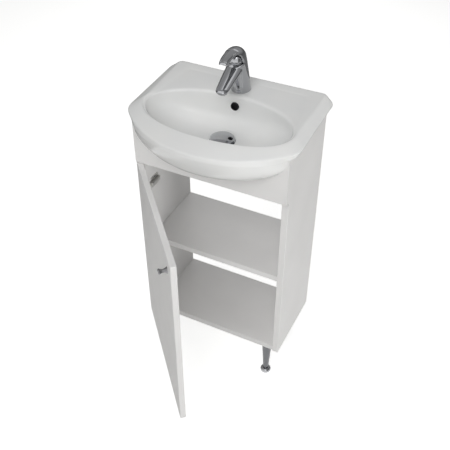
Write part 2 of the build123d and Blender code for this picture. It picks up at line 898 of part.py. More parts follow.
# Cartridge: housing, turning rotor, tilting stem on a cross pin, held by a ring nut
pivot_height = tap_body_length + rotor_height * 0.3
rotor_bottom = tap_body_length - rotor_height
cartridge_body = rod(cartridge_diameter, (0, 0, cartridge_bottom), (0, 0, tap_body_length)) - rod(
    rotor_diameter + 2 * running_clearance, (0, 0, rotor_bottom), (0, 0, tap_body_length + rotor_height)
)
slot_bottom = rotor_bottom + rotor_floor
stem_slot = block(
    -stem_side / 2 - stem_slot_clearance,
    stem_side / 2 + stem_slot_clearance,
    -rotor_diameter,
    rotor_diameter,
    slot_bottom,
    slot_bottom + 4 * rotor_height,
)
stem_pin = rod(
    stem_pin_diameter, (-rotor_diameter * 0.4, 0, pivot_height), (rotor_diameter * 0.4, 0, pivot_height)
)
cartridge_rotor = rod(rotor_diameter, (0, 0, rotor_bottom), (0, 0, tap_body_length + rotor_height * 0.7))
cartridge_rotor = cartridge_rotor - stem_slot - stem_pin
stem_blank = block(
    -stem_side / 2, stem_side / 2, -stem_side / 2, stem_side / 2, pivot_height, pivot_height + stem_length
)
cartridge_stem = (
    stem_blank
    + rod(stem_side, (-stem_side / 2, 0, pivot_height), (stem_side / 2, 0, pivot_height))
    - rod(
        stem_pin_diameter + 2 * running_clearance,
        (-rotor_diameter, 0, pivot_height),
        (rotor_diameter, 0, pivot_height),
    )
)
cartridge_nut = washer(
    cartridge_nut_diameter, rotor_diameter + 2 * dome_wall, tap_body_length, cartridge_nut_height
)


# Dome over the nut, open on top for the stem
def dome_form(wall):
    rim = dome_diameter / 2 - wall
    opening = dome_opening_diameter / 2 - wall
    top = tap_body_length + dome_height
    return revolve(
        Plane.XZ
        * make_face(
            [
                Line((0, tap_body_length), (rim, tap_body_length)),
                ThreePointArc(
                    (rim, tap_body_length),
                    (rim * 0.6 + opening * 0.4 + 1, tap_body_length + dome_height * 0.55),
                    (opening, top),
                ),
                Line((opening, top), (0, top)),
                Line((0, top), (0, tap_body_length)),
            ]
        ),
        Axis.Z,
    )


tap_dome = dome_form(0) - dome_form(dome_wall)

# Lever: a hood round the back of the dome that runs forward as a tongue with a curled tip.
# Its hollow is a ball about the tilting pivot, so it clears the dome at every tilt.
hood_radius = hood_diameter / 2
hood_bottom = tap_body_length + hood_gap
hood = revolve(
    Plane.XZ
    * make_face(
        [
            Line((0, hood_bottom), (hood_radius, hood_bottom)),
            Line((hood_radius, hood_bottom), (hood_radius, hood_centre)),
            ThreePointArc(
                (hood_radius, hood_centre),
                (hood_radius * sin(radians(45)), hood_centre + hood_radius * sin(radians(45))),
                (0, hood_centre + hood_radius),
            ),
            Line((0, hood_centre + hood_radius), (0, hood_bottom)),
        ]
    ),
    Axis.Z,
)
hood -= block(-hood_diameter, hood_diameter, -hood_diameter, -hood_front, 0, 2 * tap_body_length)
# The lower edge rises to the back, by the angle through which the lever is lifted.
hood -= Pos(0, 0, hood_bottom) * Rot(lever_tilt, 0, 0) * block(
    -hood_diameter, hood_diameter, 0, hood_diameter, -hood_diameter, 0
)
hood = lean * hood
hood_hollow = lean * Pos(0, 0, pivot_height) * Sphere(hood_hollow_radius)
tip_height = lever_top - lever_tip_fall
lever_side = make_face(
    [
        Line((tongue_root, lever_top - 2 * lever_thickness), (tongue_root, lever_top - lever_thickness * 0.3)),
        ThreePointArc(
            (tongue_root, lever_top - lever_thickness * 0.3),
            ((tongue_root + lever_reach) / 2, lever_top),
            (lever_reach, tip_height),
        ),
        ThreePointArc(
            (lever_reach, tip_height),
            (lever_reach - lever_thickness * 0.4, tip_height - lever_thickness * 0.7),
            (lever_reach - lever_thickness * 1.1, tip_height - lever_thickness * 0.6),
        ),
        ThreePointArc(
            (lever_reach - lever_thickness * 1.1, tip_height - lever_thickness * 0.6),
            (lever_reach * 0.65, lever_top - lever_thickness),
            (tongue_root, lever_top - 2 * lever_thickness),
        ),
    ]
)
forward = Plane(origin=(0, 0, 0), x_dir=(0, -1, 0), z_dir=(-1, 0, 0))
tip_centre = lever_reach - lever_tip_radius - running_clearance
lever_plan = make_face(
    Polyline(
        (0, -lever_root_half_width),
        (tip_centre, -lever_tip_radius),
        (tip_centre, lever_tip_radius),
        (0, lever_root_half_width),
        close=True,
    )
) + Pos(tip_centre, 0) * Circle(lever_tip_radius)
tongue = extrude(forward * lever_side, 2 * lever_root_half_width, both=True) & extrude(
    Plane(origin=(0, 0, 0), x_dir=(0, -1, 0), z_dir=(0, 0, 1)) * lever_plan, 2 * lever_top
)
lever_screw_height = pivot_height + stem_length - lever_screw_diameter
lever_screw = rod(
    lever_screw_diameter,
    (0, stem_side / 2, lever_screw_height),
    (0, hood_radius * 0.55, lever_screw_height),
)
screw_hole = rod(
    lever_screw_diameter, (0, stem_side / 2, lever_screw_height), (0, hood_diameter, lever_screw_height)
)
tap_lever = hood + tongue - hood_hollow - lean * stem_blank - lean * screw_hole

# Fixing of the tap under the deck
deck_thickness = deck_level - pocket_ceiling
horseshoe = Circle(horseshoe_diameter / 2) - Pos(0, -horseshoe_diameter / 2) * Rectangle(
    horseshoe_diameter * 0.55, horseshoe_diameter
)
horseshoe = horseshoe - Pos(0, stud_offset) * Circle(stud_diameter / 2)
fixing_gasket = extrude(Pos(0, 0, -deck_thickness - horseshoe_thickness) * horseshoe, horseshoe_thickness)
fixing_washer = extrude(Pos(0, 0, -deck_thickness - 2 * horseshoe_thickness) * horseshoe, horseshoe_thickness)
nut_top = -deck_thickness - 2 * horseshoe_thickness
fixing_nut = Pos(0, stud_offset, nut_top - stud_diameter * 0.8) * extrude(
    RegularPolygon(stud_diameter * 0.8, 6, major_radius=False) - Circle(stud_diameter / 2), stud_diameter * 0.8
)
fixing_stud = rod(
    stud_diameter, (0, stud_offset, body_bottom + inlet_depth - stud_length), (0, stud_offset, body_bottom + inlet_depth)
)

nodes = {
    "left_side_panel": left_side,
    "right_side_panel": right_side,
    "bottom_panel": bottom_panel,
    "shelf": shelf,
    "rear_rail": rear_rail,
    "front_fascia": fascia,
    "carcass_dowels": group(carcass_dowels),
    "shelf_pins": group(shelf_pins),
    "fascia_brackets": group(fascia_brackets),
    "fascia_screws": group(fascia_screws),
    "leg_bolts": group(leg_bolts),
    "door_panel": swing_open(door_panel),
    "door_knob": swing_open(door_knob),
    "knob_screw": swing_open(knob_screw),
    "door_bumpers": swing_open(group(door_bumpers)),
    "hinge_cup_screws": swing_open(group(cup_screws)),
    "hinge_plate_screws": group(plate_screws),
    "washbasin": washbasin,
    "waste_body": waste_body,
    "waste_upper_gasket": waste_upper_gasket,
    "waste_lower_gasket": waste_lower_gasket,
    "waste_nut": waste_nut,
    "waste_plug_guide": plug_guide,
    "waste_plug": waste_plug,
    "tap_body": tap_axis * tap_body,
    "tap_gasket": tap_axis * tap_gasket,
    "tap_dome": tap_axis * lean * tap_dome,
    "tap_lever": tap_axis * tap_lever,
    "lever_screw": tap_axis * lean * lever_screw,
    "cartridge_body": tap_axis * lean * cartridge_body,
    "cartridge_nut": tap_axis * lean * cartridge_nut,
    "cartridge_rotor": tap_axis * lean * cartridge_rotor,
    "cartridge_stem_pin": tap_axis * lean * stem_pin,
    "cartridge_stem": tap_axis * lean * cartridge_stem,
    "aerator_housing": tap_axis * aerator_housing,
    "aerator_insert": tap_axis * aerator_insert,
    "fixing_stud": tap_axis * fixing_stud,
    "fixing_gasket": tap_axis * fixing_gasket,
    "fixing_washer": tap_axis * fixing_washer,
    "fixing_nut": tap_axis * fixing_nut,
}
for corner in leg_places:
    nodes[corner + "_leg"] = legs[corner]
    nodes[corner + "_foot"] = feet[corner]
for name, cup, pin, arm, plate in zip(
    ("upper", "lower"), hinge_cups, hinge_pins, hinge_arms, hinge_plates
):
    nodes[name + "_hinge_cup"] = swing_open(cup)
    nodes[name + "_hinge_pin"] = swing_open(pin)
    nodes[name + "_hinge_arm"] = arm
    nodes[name + "_hinge_plate"] = plate

# The origin is on the floor, in the middle of the ground that the whole part covers.
boxes = [piece.bounding_box() for piece in nodes.values()]
middle_y = (min(box.min.Y for box in boxes) + max(box.max.Y for box in boxes)) / 2
to_origin = Pos(0, -middle_y, 0)

os.makedirs("parts", exist_ok=True)
for name, piece in nodes.items():
    export_step(to_origin * piece, f"parts/{name}.step")
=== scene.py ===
import bpy
import bmesh
import json
from math import asin, cos, hypot, pi, radians, sin, sqrt, tan
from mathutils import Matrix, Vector


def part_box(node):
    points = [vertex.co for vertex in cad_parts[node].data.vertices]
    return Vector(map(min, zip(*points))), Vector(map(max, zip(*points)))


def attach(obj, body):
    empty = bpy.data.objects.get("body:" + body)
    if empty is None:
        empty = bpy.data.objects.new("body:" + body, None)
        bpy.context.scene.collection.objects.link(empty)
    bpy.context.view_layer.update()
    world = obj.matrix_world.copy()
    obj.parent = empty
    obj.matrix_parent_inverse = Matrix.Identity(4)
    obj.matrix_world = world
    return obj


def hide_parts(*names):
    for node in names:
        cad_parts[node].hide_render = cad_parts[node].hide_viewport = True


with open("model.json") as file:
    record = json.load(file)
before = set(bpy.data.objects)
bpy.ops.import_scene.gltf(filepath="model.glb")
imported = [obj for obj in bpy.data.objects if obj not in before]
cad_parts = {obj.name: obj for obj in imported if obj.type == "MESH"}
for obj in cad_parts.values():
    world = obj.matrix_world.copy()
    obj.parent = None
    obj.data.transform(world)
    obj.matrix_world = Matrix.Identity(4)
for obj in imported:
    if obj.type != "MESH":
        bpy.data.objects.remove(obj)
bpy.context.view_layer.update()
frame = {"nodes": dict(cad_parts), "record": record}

# Cupboard: chipboard panels pressed with white melamine paper, edges banded in the same white.
# The bottom and the rear rail are dowelled between the sides, the shelf lies on four steel pins,
# and the fascia stands in front of the sides, held by two steel angle brackets.


def linear(hex_colour):
    # sRGB hex value to the linear colour that a shader socket takes.
    parts = [int(hex_colour[i:i + 2], 16) / 255 for i in (1, 3, 5)]
    return tuple(c / 12.92 if c <= 0.04045 else ((c + 0.055) / 1.055) ** 2.4 for c in parts) + (1.0,)


def add(tree, kind, settings=None, **links):
    # One shader node: settings by attribute or by input name, links as input name = (node, output name).
    node = tree.nodes.new(kind)
    for name, value in (settings or {}).items():
        if name in node.inputs:
            node.inputs[name].default_value = value
        else:
            setattr(node, name, value)
    for name, (source, output) in links.items():
        tree.links.new(source.outputs[output], node.inputs[name.replace("_", " ")])
    return node


def empty_tree(holder):
    # The cleared node tree of a material or a world.
    holder.use_nodes = True
    holder.node_tree.nodes.clear()
    return holder.node_tree


def new_finish(name):
    # A material with its output, its shader and its object coordinates.
    finish = bpy.data.materials.new(name)
    tree = empty_tree(finish)
    shader = add(tree, "ShaderNodeBsdfPrincipled")
    add(tree, "ShaderNodeOutputMaterial", Surface=(shader, "BSDF"))
    place = add(tree, "ShaderNodeTexCoord")
    return finish, tree, shader, place


def drift(tree, shader, noise, first, second):
    # Base colour that drifts between two tones with a noise.
    # Sockets 6 and 7 of the node are its two colours, and output 2 is the mixed colour.
    mix = add(tree, "ShaderNodeMix", {"data_type": "RGBA"})
    mix.inputs[6].default_value = linear(first)
    mix.inputs[7].default_value = linear(second)
    tree.links.new(noise.outputs["Fac"], mix.inputs[0])
    tree.links.new(mix.outputs[2], shader.inputs["Base Color"])


def vary_gloss(tree, shader, noise, smooth, rough, output="Fac"):
    # Roughness that varies with a noise between two values.
    gloss = add(tree, "ShaderNodeMapRange", {"To Min": smooth, "To Max": rough}, Value=(noise, output))
    tree.links.new(gloss.outputs["Result"], shader.inputs["Roughness"])


def paint(finish, *names):
    # Gives one finish to CAD nodes that keep their own shape.
    for name in names:
        slots = frame["nodes"][name].data.materials
        slots.clear()
        slots.append(finish)


# White melamine: a matt-satin paper face with a fine pearl emboss, 0.7 mm grains drawn at 2 mm to show,
# and a slow drift of tone over a hand's width that keeps a large panel from looking printed.
melamine, tree, shader, place = new_finish("white_melamine")
cloud = add(tree, "ShaderNodeTexNoise", {"Scale": 9.0, "Detail": 2.0}, Vector=(place, "Object"))
drift(tree, shader, cloud, "#e6e5e4", "#eeedec")
pearl_grain = {"Scale": 500.0, "Detail": 3.0, "Roughness": 0.6}
pearl = add(tree, "ShaderNodeTexNoise", pearl_grain, Vector=(place, "Object"))
vary_gloss(tree, shader, pearl, smooth=0.55, rough=0.68)
emboss = add(tree, "ShaderNodeBump", {"Strength": 0.12, "Distance": 0.0003}, Height=(pearl, "Fac"))
tree.links.new(emboss.outputs["Normal"], shader.inputs["Normal"])
shader.inputs["IOR"].default_value = 1.5
shader.inputs["Specular IOR Level"].default_value = 0.2
paint(melamine, "left_side_panel", "right_side_panel", "bottom_panel", "shelf", "rear_rail")
paint(melamine, "front_fascia", "door_panel")

# Beech: turned dowels with a straight fine grain, pores about 0.3 mm drawn at 1.5 mm.
beech, tree, shader, place = new_finish("beech")
lengthwise = add(tree, "ShaderNodeMapping", {"Scale": (60.0, 650.0, 650.0)}, Vector=(place, "Object"))
grain = add(tree, "ShaderNodeTexNoise", {"Scale": 1.0, "Detail": 4.0}, Vector=(lengthwise, "Vector"))
wood_tone = add(tree, "ShaderNodeValToRGB", Fac=(grain, "Fac"))
wood_tone.color_ramp.elements[0].color = linear("#b98a5c")
wood_tone.color_ramp.elements[1].color = linear("#dcb88a")
tree.links.new(wood_tone.outputs["Color"], shader.inputs["Base Color"])
shader.inputs["Roughness"].default_value = 0.6
paint(beech, "carcass_dowels")

# Bright zinc plating on steel: greyish mirror broken by a fine crystalline grain of about 0.8 mm.
zinc, tree, shader, place = new_finish("zinc_plated_steel")
crystals = add(tree, "ShaderNodeTexVoronoi", {"Scale": 1200.0}, Vector=(place, "Object"))
vary_gloss(tree, shader, crystals, smooth=0.22, rough=0.42, output="Distance")
shader.inputs["Base Color"].default_value = linear("#a9acb0")
shader.inputs["Metallic"].default_value = 1.0
paint(zinc, "shelf_pins", "fascia_brackets", "fascia_screws")

# Legs: tapered steel legs in satin nickel, on double-ended bolts under the bottom panel.
# Each stands on a domed chrome foot whose threaded stud turns in the leg to level the cupboard.


def hazed_finish(name, colour, metallic, scale, detail, smooth, rough, clear=0.0):
    # A finish of one colour whose roughness varies with a fine haze; scale is the haze's grains to the metre.
    finish, tree, shader, place = new_finish(name)
    haze = add(tree, "ShaderNodeTexNoise", {"Scale": scale, "Detail": detail}, Vector=(place, "Object"))
    vary_gloss(tree, shader, haze, smooth, rough)
    shader.inputs["Base Color"].default_value = linear(colour)
    shader.inputs["Metallic"].default_value = metallic
    shader.inputs["Transmission Weight"].default_value = clear
    return finish


# Polished chrome: a hard mirror, slightly bluish, over a cast or turned body.
# Polishing leaves it faintly wavy over about 12 mm and hazed in small patches.
chrome, tree, shader, place = new_finish("polished_chrome")
haze = add(tree, "ShaderNodeTexNoise", {"Scale": 60.0, "Detail": 3.0}, Vector=(place, "Object"))
vary_gloss(tree, shader, haze, smooth=0.05, rough=0.13)
wave = add(tree, "ShaderNodeTexNoise", {"Scale": 80.0, "Detail": 1.0}, Vector=(place, "Object"))
ripple = add(tree, "ShaderNodeBump", {"Strength": 0.1, "Distance": 0.0004}, Height=(wave, "Fac"))
tree.links.new(ripple.outputs["Normal"], shader.inputs["Normal"])
shader.inputs["Base Color"].default_value = linear("#b4b5b8")
shader.inputs["Metallic"].default_value = 1.0

# Satin nickel: darker than chrome, with a fine turning haze of about 1 mm drawn at 3 mm.
satin_nickel = hazed_finish(
    "satin_nickel", "#707174", metallic=1.0, scale=330.0, detail=3.0, smooth=0.2, rough=0.32
)
for corner in ("front_left", "front_right", "rear_left", "rear_right"):
    paint(satin_nickel, corner + "_leg")
    paint(chrome, corner + "_foot")
paint(zinc, "leg_bolts")

# Hinges: pressed steel cups let into the door, arms that hook round the cup pins,
# and mounting plates screwed to the left side panel; all nickel plated, rubbed over about 3 mm.
nickel = hazed_finish(
    "nickel_plated_steel", "#d2d1ce", metallic=1.0, scale=350.0, detail=4.0, smooth=0.3, rough=0.45
)
for hinge_place in ("upper", "lower"):
    paint(nickel, *[hinge_place + "_hinge_" + part for part in ("cup", "pin", "arm", "plate")])
paint(zinc, "hinge_cup_screws", "hinge_plate_screws")

# Door: a panel of the same board with rounded edges, a turned knob held by one screw from inside
# and two clear soft buffers on its free edge.
dark_nickel = hazed_finish(
    "satin_dark_nickel", "#8a8a8c", metallic=1.0, scale=900.0, detail=2.0, smooth=0.2, rough=0.36
)
paint(dark_nickel, "door_knob")
paint(zinc, "knob_screw")
clear_buffer = hazed_finish(
    "clear_polyurethane", "#e8ebea", metallic=0.0, scale=300.0, detail=2.0, smooth=0.2, rough=0.4,
    clear=0.6,
)
paint(clear_buffer, "door_bumpers")

# Washbasin: one slip-cast piece of vitreous china with a bowed front, a sunk deck for the tap,
# an oval bowl and a round belly that hangs through the fascia.
# It lies on the side panels and is bolted to the wall; y is measured back from the panels' front edges.
panel_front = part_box("right_side_panel")[0].y
seat_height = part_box("right_side_panel")[1].z
wall_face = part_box("washbasin")[1].y - panel_front
rim_fall = radians(3.5)
lip_rise, lip_edge, crest_rise = 0.019, 0.004, 0.012
crest_overhang = 0.058
crest_level = seat_height + lip_rise + crest_rise


def steps(first, last, count):
    # Evenly spaced values, the last one left out.
    return [first + (last - first) * i / count for i in range(count)]


def rim_points(half_width, overhang, bow, front_corner, back, back_corner):
    # Outline of the rim seen from above: bowed front, rounded corners, straight sides and back.
    front_count, corner_count, side_count, back_corner_count, back_count = 26, 14, 16, 8, 18
    bow_centre = bow - overhang
    reach = half_width - front_corner
    corner_y = bow_centre - sqrt((bow - front_corner) ** 2 - reach ** 2)
    turn = asin(reach / (bow - front_corner))
    right = [(bow * sin(a), bow_centre - bow * cos(a)) for a in steps(0, turn, front_count)]
    right += [
        (reach + front_corner * sin(a), corner_y - front_corner * cos(a))
        for a in steps(turn, pi / 2, corner_count)
    ]
    right += [(half_width, y) for y in steps(corner_y, back - back_corner, side_count)]
    right += [
        (half_width - back_corner * (1 - cos(a)), back - back_corner * (1 - sin(a)))
        for a in steps(0, pi / 2, back_corner_count)
    ]
    right += [(x, back) for x in steps(half_width - back_corner, 0, back_count)]
    left = [(-x, y) for x, y in right[:0:-1]]
    return right + [(0, back)] + left


def tilted(y, lift):
    # Height of a plane that lies with the rim, lifted or lowered from the crest.
    return crest_level + (y + crest_overhang) * tan(rim_fall) + lift


def level(points, height):
    # An outline laid flat at one height.
    return [(x, y, height) for x, y in points]


def sloped(points, lifts):
    # An outline laid with the rim, each point with its own lift.
    return [(x, y, tilted(y, lift)) for (x, y), lift in zip(points, lifts)]


def reach_of(point, centre, length, width):
    # How far out a point lies, where 1 is on the oval.
    return hypot(point[0] / length, (point[1] - centre) / width)


def on_oval(points, centre, length, width):
    # The same points drawn onto an oval.
    drawn = []
    for point in points:
        far = reach_of(point, centre, length, width)
        drawn.append((point[0] / far, centre + (point[1] - centre) / far))
    return drawn


def rounded(rings, corner, radius, count=5, most=0.48, tiny=1e-6):
    # The rings that lead round one corner ring on a soft curve, which takes at most a share of each side.
    rows = [[] for _ in range(count)]
    for before, here, after in zip(rings[corner - 1], rings[corner], rings[corner + 1]):
        before, here, after = Vector(before), Vector(here), Vector(after)
        first = here + (before - here) * min(most, radius / max((before - here).length, tiny))
        last = here + (after - here) * min(most, radius / max((after - here).length, tiny))
        for i in range(count):
            t = i / (count - 1)
            rows[i].append(first * (1 - t) ** 2 + here * 2 * t * (1 - t) + last * t ** 2)
    return rows


def drawn_rings(name, rings):
    # A tube drawn ring by ring from a circle; it is left in edit mode with its two open ends selected.
    count = len(rings[0])
    bpy.ops.object.select_all(action="DESELECT")
    bpy.ops.mesh.primitive_circle_add(vertices=count, location=(0, 0, 0))
    tube = bpy.context.object
    tube.name = name
    bpy.ops.object.mode_set(mode="EDIT")
    for number, ring in enumerate(rings):
        if number:
            bpy.ops.mesh.extrude_edges_indiv()
        mesh = bmesh.from_edit_mesh(tube.data)
        mesh.verts.ensure_lookup_table()
        for vertex, spot in zip(mesh.verts[-count:], ring):
            vertex.co = spot
        bmesh.update_edit_mesh(tube.data)
    bpy.ops.mesh.select_all(action="DESELECT")
    mesh = bmesh.from_edit_mesh(tube.data)
    for edge in mesh.edges:
        edge.select = edge.is_boundary
    bmesh.update_edit_mesh(tube.data)
    return tube


bowl_centre, bowl_length, bowl_depth = 0.037, 0.2, 0.095
bowl_front, bowl_back = 0.0955, 0.102


def bowl_reach(point):
    # How far out a point lies from the middle of the bowl, where 1 is on its mouth.
    return reach_of(point, bowl_centre, bowl_length, bowl_front if point[1] < bowl_centre else bowl_back)


def drawn_out(point, share):
    # A point moved to a share of its distance from the middle of the bowl.
    return (point[0] * share, bowl_centre + (point[1] - bowl_centre) * share)


def narrowed(points, taper, clear, start=0.03):
    # An outline that narrows towards the wall and keeps out of the bowl.
    points = [(x * (1 - taper * max(0, y - start)), y) for x, y in points]
    return [drawn_out(point, max(1, clear / bowl_reach(point))) for point in points]


lip = rim_points(
    half_width=0.2355, overhang=0.115, bow=0.305, front_corner=0.05, back=wall_face, back_corner=0.025
)
foot = rim_points(
    half_width=0.2175, overhang=0.097, bow=0.287, front_corner=0.0415, back=wall_face, back_corner=0.0165
)
crest = rim_points(
    half_width=0.203, overhang=crest_overhang, bow=0.298, front_corner=0.06, back=wall_face, back_corner=0.01
)
# The crest spreads towards the wall, keeps out of the bowl, and sinks where the bowl pushes it outwards.
crest_spread, crest_clear, crest_crown, back_rise, push_fall = 0.15, 1.045, 0.0005, 0.006, 0.22
crest = [(x * (1 + crest_spread * max(0, y)), y) for x, y in crest]
crest_lift = []
for number, point in enumerate(crest):
    crest[number] = drawn_out(point, max(1, crest_clear / bowl_reach(point)))
    step_out = hypot(crest[number][0] - point[0], crest[number][1] - point[1])
    crest_lift.append(crest_crown + back_rise * max(0, point[1]) - step_out * push_fall)
# Inside the crest the deck lies in a shallow recess with a ledge 24 mm wide along the wall.
ledge_back, recess_wall = wall_face - 0.024, 0.005
recess = narrowed(rim_points(
    half_width=0.2, overhang=0.055, bow=0.295, front_corner=0.057, back=ledge_back, back_corner=0.015
), taper=0.6, clear=1.02)
recess_floor = narrowed(rim_points(
    half_width=0.194, overhang=0.0505, bow=0.2905, front_corner=0.0525,
    back=ledge_back - recess_wall, back_corner=0.0125,
), taper=0.75, clear=1.005)
mouth_share = 0.985
mouth = [drawn_out(point, mouth_share / bowl_reach(point)) for point in recess_floor]

# The rings run from the bore over the boss, the belly and the rim into the bowl, each with its corner radius.
drain_y, bore_radius, boss_radius, boss_drop = 0.065, 0.023, 0.035, 0.077
boss_bottom = seat_height - boss_drop
profile = [
    (level(on_oval(foot, drain_y, radius, radius), boss_bottom), 0) for radius in (bore_radius, boss_radius)
]
# The belly is an oval that shrinks downwards, sooner at its ends than in front, and spreads at its top.
# Between the side panels, and for 3 mm in front of them, it keeps 2 mm away from their faces.
belly_centre, belly_length, belly_width, belly_drop = 0.025, 0.2205, 0.1296, 0.0892
end_taper, end_power, front_taper, front_power = 0.92, 2.6, 0.87, 4.6
top_spread, top_share, bottom_shift = 0.07, 0.43, 0.02
panel_clearance, panel_line, seat_gap = 0.002, -0.003, 0.0002
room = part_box("right_side_panel")[0].x - panel_clearance
underside = seat_height + seat_gap
for drop in (1, 0.99, 0.975, 0.955, 0.93, 0.9, 0.86, 0.81, 0.75, 0.68, 0.6, 0.5, 0.4, 0.28, 0.15, 0):
    length = belly_length * sqrt(1 - end_taper * drop ** end_power)
    width = belly_width * sqrt(1 - front_taper * drop ** front_power)
    width *= 1 + top_spread * max(0, 1 - drop / top_share)
    oval = on_oval(foot, belly_centre + bottom_shift * drop ** 2, length, width)
    ring = [(max(-room, min(room, x)) if y > panel_line else x, y) for x, y in oval]
    profile.append((level(ring, underside - belly_drop * drop), 0))
# The flat underside of the rim runs to the larger of the belly and the foot, with a soft change between them.
blend_power = 24
under_foot = []
for inner, outer in zip(oval, foot):
    share = reach_of(outer, belly_centre, length, width)
    push = max(1, (1 + share ** blend_power) ** (1 / blend_power) / max(share, 1))
    far = outer if share > 1 else inner
    under_foot.append((far[0] * push, belly_centre + (far[1] - belly_centre) * push))
deck_sink, floor_sink, mouth_sink = 0.0022, 0.003, 0.0036
profile += [
    (level(under_foot, underside), 0.002),
    (sloped(lip, [-crest_rise - lip_edge / 2] * len(lip)), 0.0045),
    (sloped(crest, crest_lift), 0.006),
    (sloped(recess, [min(0, lift) for lift in crest_lift]), 0.003),
    (sloped(recess_floor, [lift - floor_sink for lift in crest_lift]), 0.006),
    (sloped(mouth, [lift - mouth_sink for lift in crest_lift]), 0.011),
]
# The bowl shrinks to a flat floor round the drain, whose seat is 68 mm wide and 4 mm deep.
tap_from_front = 0.174
deck = tilted(tap_from_front, -deck_sink)
bowl_floor = deck - bowl_depth
long_power, wide_power = 2.2, 3.4
for drop in (0.22, 0.34, 0.46, 0.56, 0.65, 0.73, 0.8, 0.86, 0.9, 0.93):
    long_share = sqrt(1 - drop ** long_power)
    wide_share = sqrt(1 - drop ** wide_power)
    centre = bowl_centre + (drain_y - bowl_centre) * drop ** 2
    ring = [(x * long_share, (y - bowl_centre) * wide_share + centre) for x, y in mouth]
    profile.append((level(ring, deck - bowl_depth * drop), 0))
seat_radius, seat_depth = 0.034, 0.004
for rise, length, width in (
    (0.0034, 0.06, 0.0425), (0.001, 0.044, 0.0375), (0, seat_radius, seat_radius),
    (-seat_depth, seat_radius, seat_radius), (-seat_depth, bore_radius, bore_radius),
):
    profile.append((level(on_oval(mouth, drain_y, length, width), bowl_floor + rise), 0))
corners = [ring for ring, radius in profile]
rings = []
for number, (ring, radius) in enumerate(profile):
    rings += rounded(corners, number, radius) if radius else [ring]
basin = drawn_rings("basin", [[(x, y + panel_front, z) for x, y, z in ring] for ring in rings])
# The bore joins the drain's seat to the boss below, which closes the piece.
bpy.ops.mesh.bridge_edge_loops()
bpy.ops.mesh.select_all(action="SELECT")
bpy.ops.mesh.remove_doubles(threshold=0.00002)
bpy.ops.mesh.normals_make_consistent(inside=False)
bpy.ops.object.mode_set(mode="OBJECT")

# The overflow is bored through the back wall of the bowl, 22 mm wide.
overflow_radius, drill_length = 0.011, 0.05
overflow_from_front, overflow_below_deck = 0.134, 0.033
overflow_y = panel_front + overflow_from_front
overflow_z = deck - overflow_below_deck
bpy.ops.object.select_all(action="DESELECT")
bpy.ops.mesh.primitive_cylinder_add(
    vertices=48, radius=overflow_radius, depth=drill_length,
    location=(0, overflow_y, overflow_z), rotation=(pi / 2, 0, 0),
)
drill = bpy.context.object
bpy.ops.object.select_all(action="DESELECT")
bpy.context.view_layer.objects.active = basin
bored = basin.modifiers.new("overflow", "BOOLEAN")
bored.operation = "DIFFERENCE"
bored.solver = "EXACT"
bored.object = drill
bpy.ops.object.modifier_apply(modifier="overflow")
bpy.data.objects.remove(drill)
bpy.context.view_layer.objects.active = basin
basin.select_set(True)
bpy.ops.object.shade_smooth_by_angle(angle=radians(50))

# Glazed vitreous china: white clay under a clear glaze, almost a mirror at grazing angles.
# The glaze lies in slow waves about 30 mm long and its white drifts slightly where it pools.
china, tree, shader, place = new_finish("white_glazed_china")
pool = add(tree, "ShaderNodeTexNoise", {"Scale": 14.0, "Detail": 2.0}, Vector=(place, "Object"))
drift(tree, shader, pool, "#e9eaea", "#f0f0ee")
swell = add(tree, "ShaderNodeTexNoise", {"Scale": 33.0, "Detail": 1.0}, Vector=(place, "Object"))
peel = add(tree, "ShaderNodeBump", {"Strength": 0.05, "Distance": 0.001}, Height=(swell, "Fac"))
tree.links.new(peel.outputs["Normal"], shader.inputs["Normal"])
vary_gloss(tree, shader, pool, smooth=0.06, rough=0.14)
shader.inputs["IOR"].default_value = 1.52
basin.data.materials.clear()
basin.data.materials.append(china)
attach(basin, "carcass")
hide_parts("washbasin")

# Waste: a chromed brass flange and tube through the drain, sealed by rubber washers
# and held by a plastic nut below; its domed plug is pressed to close it.
# Black rubber for the waste and tap gaskets. The same black also gives the painted shade of the overflow cup
# below.
rubber_and_shade = hazed_finish(
    "black_rubber", "#1d1d1e", metallic=0.0, scale=400.0, detail=3.0, smooth=0.6, rough=0.85
)
grey_plastic = hazed_finish(
    "grey_polypropylene", "#8d8f90", metallic=0.0, scale=700.0, detail=2.0, smooth=0.35, rough=0.5
)
paint(chrome, "waste_body", "waste_plug")
paint(rubber_and_shade, "waste_upper_gasket", "waste_lower_gasket")
paint(grey_plastic, "waste_nut", "waste_plug_guide")

# Overflow cup: a short dark cup, 14 mm long and 1.2 mm thick, pushed into the overflow and open to the bowl.
# Its black is painted shade, which stands in for the shade deep inside the overflow.
sleeve_length, sleeve_wall, sleeve_depth = 0.014, 0.0012, 0.011
sleeve_inset, sleeve_gap, faces_bowl = 0.0075, 0.0001, -0.9
bpy.ops.object.select_all(action="DESELECT")
bpy.ops.mesh.primitive_cylinder_add(
    vertices=48, radius=overflow_radius - sleeve_gap, depth=sleeve_length,
    location=(0, overflow_y + sleeve_inset, overflow_z), rotation=(pi / 2, 0, 0),
)
shade_sleeve = bpy.context.object
shade_sleeve.name = "overflow_shade_sleeve"
bpy.ops.object.transform_apply(location=True, rotation=True, scale=True)
bpy.ops.object.mode_set(mode="EDIT")
bpy.ops.mesh.select_all(action="DESELECT")
mesh = bmesh.from_edit_mesh(shade_sleeve.data)
for face in mesh.faces:
    face.select = face.normal.y < faces_bowl
bmesh.update_edit_mesh(shade_sleeve.data)
bpy.ops.mesh.inset(thickness=sleeve_wall)
bpy.ops.mesh.extrude_region_move(TRANSFORM_OT_translate={"value": (0, sleeve_depth, 0)})
bpy.ops.object.mode_set(mode="OBJECT")
bpy.ops.object.shade_smooth_by_angle(angle=radians(40))
# The cup takes the black finish of the gaskets as painted shade for the inside of the overflow.
shade_sleeve.data.materials.append(rubber_and_shade)
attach(shade_sleeve, "carcass")

